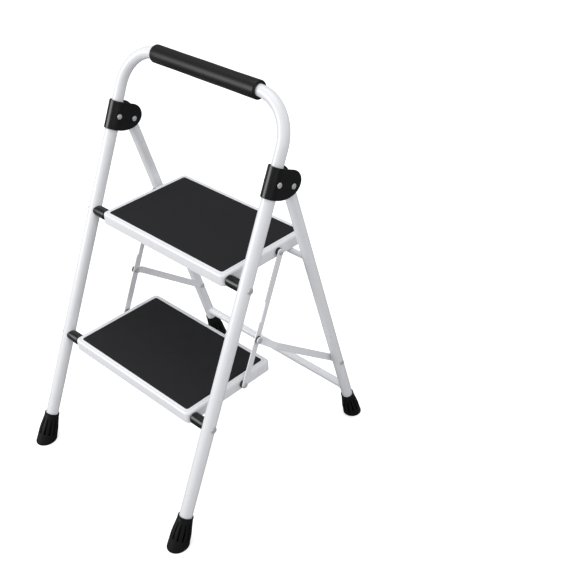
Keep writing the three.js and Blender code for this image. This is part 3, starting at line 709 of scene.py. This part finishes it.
def bar_stations(length, half_width, extra):
    """Stations along a bar with round ends, close together at the ends, and its half width."""
    a = np.linspace(math.radians(8), math.pi / 2, 14)
    end = half_width * np.cos(a)
    s = np.sort(np.concatenate([-end, length + end, extra]))
    past = np.clip(np.maximum(-s, s - length), 0, None)
    return s, np.sqrt(half_width ** 2 - past ** 2)


def ease(value, low, high):
    """0 below low, 1 above high, and 3u^2 - 2u^3 between them."""
    u = np.clip((value - low) / (high - low), 0, 1)
    return u * u * (3 - 2 * u)


ramps = np.linspace(0, NOTCH_RAMP, 7)
s, half = bar_stations(STEP_SPACING, STRAP_HALF, np.append(NOTCH_LOW + ramps, NOTCH_HIGH - ramps))
notch = NOTCH_DEPTH * ease(s, NOTCH_LOW, NOTCH_LOW + NOTCH_RAMP)
notch = notch * (1 - ease(s, NOTCH_HIGH - NOTCH_RAMP, NOTCH_HIGH))
strap_flat = (s, notch - half, half)
s, half = bar_stations(LINK_LENGTH, LINK_HALF, np.linspace(JOGGLE_START, JOGGLE_END, 20))
link_flat = (s, -half, half)


def step_out(s):
    """X of the link at s: level, a smooth joggle, level again."""
    return LINK_X + (LINK_FOOT_X - LINK_X) * ease(s, JOGGLE_START, JOGGLE_END)


for label, side in SIDES:
    strap = plate(*strap_flat, STRAP_HALF_THICK, BAR_EDGE,
                  lambda a, b, t: hanger(np.stack([side * (STRAP_X + t), b, a], -1)))
    piece(f"{label} flat strap", [strap], [f"{label}_strap"], "white_coat")
    link = plate(*link_flat, STRAP_HALF_THICK, BAR_EDGE,
                 lambda a, b, t: stay(np.stack([side * (step_out(a) + t), b, a], -1)))
    piece(f"{label} flat link", [link], [f"{label}_link"], "white_coat")
print("strap faces", made["left_flat_strap"])

# %% [markdown]
# ## Rear frame
# Two thinner tubes, joined by two welded crossbars. Each bar ends on the curve where it meets
# the leg's round side, and a rippled bead of weld runs round that curve under the paint.

# %% Rear legs and crossbars
UPPER_BAR_R, LOWER_BAR_R, LOWER_BAR_DOWN, REAR_LEG_TOP = 5.5 * MM, 8 * MM, 560 * MM, 20 * MM
BEAD_R, BEAD_RIPPLE, RIPPLES = 1.3 * MM, 0.13, 19
upper_bar_z = (middle("upper_crossbar") - rear.origin) @ rear.up


def weld(side, bar_r):
    """Bead round the joint: a small circle, its radius rippling, carried along the saddle curve."""
    around = np.arange(96) * 2 * math.pi / 96
    section = np.arange(10) * 2 * math.pi / 10
    out = np.stack([0 * around, np.cos(around), np.sin(around)], -1)
    centre = out * bar_r
    centre[:, 0] = LEG_X - np.sqrt(REAR_R ** 2 - centre[:, 1] ** 2)
    size = BEAD_R * (1 + BEAD_RIPPLE * np.cos(RIPPLES * around))
    cos, sin = np.cos(section)[None, :, None], np.sin(section)[None, :, None]
    ring = cos * out[:, None] + sin * X_AXIS
    return (centre[:, None] + size[:, None, None] * ring) * [side, 1, 1]


def crossbar(bar_r):
    """Rows of a round bar whose end rings lie on the rear legs' sides."""
    rows = turned([(bar_r, -0.2), (bar_r, -0.1), (bar_r, 0.1), (bar_r, 0.2)], 48, "x")
    end = LEG_X - np.sqrt((REAR_R - 0.3 * MM) ** 2 - rows[0, :, 1] ** 2)
    rows[0, :, 0], rows[-1, :, 0] = -end, end
    return rows


for name, bar_r, up in (("upper", UPPER_BAR_R, upper_bar_z),
                        ("lower", LOWER_BAR_R, -LOWER_BAR_DOWN)):
    at = (0, 0, up)
    shells = [rings(rear(crossbar(bar_r), at))]
    shells += [rings(rear(weld(side, bar_r), at), loop=True) for _, side in SIDES]
    piece(f"{name} welded crossbar", shells, [f"{name}_crossbar"], "white_coat")
for label, side in SIDES:
    leg = tube(REAR_R, LEG_LOW - REAR_LENGTH, REAR_LEG_TOP)(rear, (side * LEG_X, 0, 0))
    piece(f"{label} rear leg tube", [leg], [f"{label}_rear_leg"], "white_coat")
print("crossbars at", round(upper_bar_z, 4), -LOWER_BAR_DOWN)

# %% [markdown]
# ## Feet
# The feet are rubber cups pushed over the leg ends. Under a plain collar, thin ribs grow
# outwards towards the floor, with dark grooves between them that stop at a smooth flared
# band. The radius is therefore a function of height and angle. The lowest rings lie on the
# floor, which cuts the leaning cup at a slant.

# %% Rubber feet
FOOT_HEIGHT, FOOT_FLOOR, BAND = 64 * MM, 13.7 * MM, 17 * MM
FLARE = 0.9 * MM                       # how much the smooth band grows down to the floor
TREAD = (0.80, 0.78, 0.70, 0.68, 0.56, 0.54, 0.46, 0.44, 0.30, 0.28, 0.20, 0.18, 0.03)


def foot(tube_r, top_r, sole_r, slope, ribs=12, sides=192):
    """Rows of a foot: bore, collar, ribbed body, band, rounded rim and grooved sole.

    slope is the tangent of the lean, so the floor is at height r sin(t) slope along the leg.
    """
    t = np.arange(sides) * 2 * math.pi / sides
    core = top_r - 0.6 * MM
    h = np.concatenate([np.linspace(58, 20, 34), [19, 18.2, 17.6, 17.2, 17]])[:, None] * MM
    grow = ease(FOOT_HEIGHT - h, 4 * MM, FOOT_HEIGHT - BAND)
    rib = core + 0.5 * MM * (1 - grow) + (sole_r - FLARE - core) * grow ** 0.8
    groove = ease(np.cos(ribs * t), 0.45, 0.95) * ease(58 * MM - h, 0, 9 * MM)
    groove = groove * ease(h, BAND, BAND + 0.9 * MM)
    body_r = rib - (rib - core + 0.7 * MM * grow) * groove
    body = (body_r, h + 0 * t)
    collar = rounded([(tube_r + GAP, FOOT_FLOOR), (tube_r + GAP, FOOT_HEIGHT), (top_r, FOOT_HEIGHT),
                      (top_r, 60 * MM), (core, 59 * MM)], [0, 0.5 * MM, 0.9 * MM, 0.5 * MM, 0])
    floor = lambda r: r * np.sin(t) * slope
    round_in = 2.2 * MM
    a = np.linspace(0, math.pi / 2, 6)[:, None]
    drop = np.linspace(0, 1, 7)[1:, None]
    band_r = sole_r - FLARE + FLARE * drop + 0 * t
    band_h = BAND + (floor(sole_r) + round_in - BAND) * drop
    rim_r = sole_r - round_in * (1 - np.cos(a[1:])) + 0 * t
    rim_h = floor(sole_r) + round_in * (1 - np.sin(a[1:]))
    rim_h = rim_h + (floor(rim_r) - floor(sole_r)) * np.sin(a[1:]) ** 2
    tread = np.array(TREAD)[:, None]
    cut = np.array([0, 1, 1, 0] * 3 + [0])[:, None] * MM
    sole_rr = sole_r * tread + 0 * t
    inner = [(3 * MM, FOOT_FLOOR), (tube_r - 3 * MM, FOOT_FLOOR)]
    start = turned(np.vstack([inner, collar]), sides)
    lower = [body, (band_r, band_h), (rim_r, rim_h), (sole_rr, floor(sole_rr) + cut)]
    rest = np.concatenate([np.stack([r * np.cos(t), r * np.sin(t), z], -1) for r, z in lower])
    return np.concatenate([start, rest])


front_foot = foot(FRONT_R, 15 * MM, 20.5 * MM, front.up[1] / front.up[2])
rear_foot = foot(REAR_R, 13.5 * MM, 18.5 * MM, rear.up[1] / rear.up[2])
for label, side in SIDES:
    at = np.array([side * LEG_X, 0, 0])
    piece(f"{label} front rubber foot", [shell_at(front, front_foot, side, at)],
          [f"{label}_front_foot"], "black_rubber")
    piece(f"{label} rear rubber foot", [shell_at(rear, rear_foot, side, at - [0, 0, REAR_LENGTH])],
          [f"{label}_rear_foot"], "black_rubber")
print("foot faces", made["left_front_rubber_foot"])

# %% [markdown]
# ## Studio
# A white stool on white needs even light from all round, a little stronger from the front
# left, so that each tube has a bright side and a soft grey one. Floor and air look white to
# the camera, but are darker in reflections, so the black pieces stay black and show only the
# lamps. From below, the floor is clear.

# %% Floor, lights and camera
scene = bpy.context.scene
sheet = bpy.data.meshes.new("studio floor")
corners = [(-30, -30, 0), (30, -30, 0), (30, 30, 0), (-30, 30, 0)]
sheet.from_pydata(corners, [], [(0, 1, 2, 3)])
floor = bpy.data.objects.new("studio floor", sheet)
scene.collection.objects.link(floor)
paper = bpy.data.materials.new("studio paper")
paper.use_nodes = True
tree = paper.node_tree
seen = tree.nodes["Principled BSDF"]
for name, value in {"Base Color": (0.9, 0.9, 0.9, 1), "Roughness": 0.9,
                    "Emission Color": (1, 1, 1, 1), "Emission Strength": 0.5}.items():
    seen.inputs[name].default_value = value
bounce = node(tree, "ShaderNodeBsdfDiffuse", Color=(0.5, 0.5, 0.51, 1))
mirrored = node(tree, "ShaderNodeBsdfDiffuse", Color=(0.12, 0.12, 0.12, 1))
rays = node(tree, "ShaderNodeLightPath")
unseen = node(tree, "ShaderNodeMixShader",
              {0: rays.outputs["Is Glossy Ray"], 1: bounce.outputs[0], 2: mirrored.outputs[0]})
lit = node(tree, "ShaderNodeMixShader",
           {0: rays.outputs["Is Camera Ray"], 1: unseen.outputs[0], 2: seen.outputs[0]})
below = node(tree, "ShaderNodeNewGeometry").outputs["Backfacing"]
open_below = node(tree, "ShaderNodeMixShader", {
    0: below, 1: lit.outputs[0], 2: node(tree, "ShaderNodeBsdfTransparent").outputs[0]})
tree.links.new(open_below.outputs[0], tree.nodes["Material Output"].inputs["Surface"])
sheet.materials.append(paper)

world = bpy.data.worlds.new("studio air")
scene.world = world
world.use_nodes = True
tree = world.node_tree
air = tree.nodes["Background"]
air.inputs["Color"].default_value, air.inputs["Strength"].default_value = (0.97, 0.98, 1, 1), 0.80
dark = node(tree, "ShaderNodeBackground", Color=(1, 1, 1, 1), Strength=0.25)
wall = node(tree, "ShaderNodeBackground", Color=(1, 1, 1, 1), Strength=1.0)
rays = node(tree, "ShaderNodeLightPath")
glossy = node(tree, "ShaderNodeMixShader", {
    0: rays.outputs["Is Glossy Ray"], 1: air.outputs[0], 2: dark.outputs[0]})
backdrop = node(tree, "ShaderNodeMixShader", {
    0: rays.outputs["Is Camera Ray"], 1: glossy.outputs[0], 2: wall.outputs[0]})
tree.links.new(backdrop.outputs[0], tree.nodes["World Output"].inputs["Surface"])


def area_light(name, place, target, size, power):
    """Square soft light at a place, facing a target."""
    data = bpy.data.lights.new(name, "AREA")
    data.size, data.energy = size, power
    light = bpy.data.objects.new(name, data)
    scene.collection.objects.link(light)
    turn = (Vector(place) - Vector(target)).to_track_quat("Z", "Y")
    light.matrix_world = Matrix.LocRotScale(Vector(place), turn, None)


area_light("key from the left", (-1.45, -2.15, 1.25), (0, 0, 0.35), 1.5, 32)
area_light("fill from the right", (2.6, -0.8, 1.8), (0, 0, 0.35), 1.6, 7)
area_light("top softbox", (-0.3, 0.2, 3.0), (0, 0, 0.4), 1.8, 15)

azimuth, elevation, roll = (math.radians(v) for v in (44.84, 34.38, -2.13))
AIM, DISTANCE = np.array([0.1544, 0.1239, 0.3592]), 1.7956
flat = math.cos(elevation)
back = np.array([math.sin(azimuth) * flat, -math.cos(azimuth) * flat, math.sin(elevation)])
level = np.array([math.cos(azimuth), math.sin(azimuth), 0])
rise = np.cross(back, level)
right = math.cos(roll) * level + math.sin(roll) * rise
up = -math.sin(roll) * level + math.cos(roll) * rise
lens = bpy.data.cameras.new("studio camera")
lens.lens, lens.sensor_width = 59.17, 36
lens.clip_start, lens.clip_end = 0.05, 100
camera = bpy.data.objects.new("studio camera", lens)
scene.collection.objects.link(camera)
columns = np.eye(4)
columns[:3] = np.stack([right, up, back, AIM + back * DISTANCE], -1)
camera.matrix_world = Matrix(columns.tolist())
scene.camera = camera
scene.view_settings.view_transform = "Standard"
print("camera at", columns[:3, 3].round(3))

# %% [markdown]
# The last lines print how many pieces the finished stool has, and how many faces.

# %% Counts of pieces and faces
print("pieces", len(made), "faces", sum(made.values()))
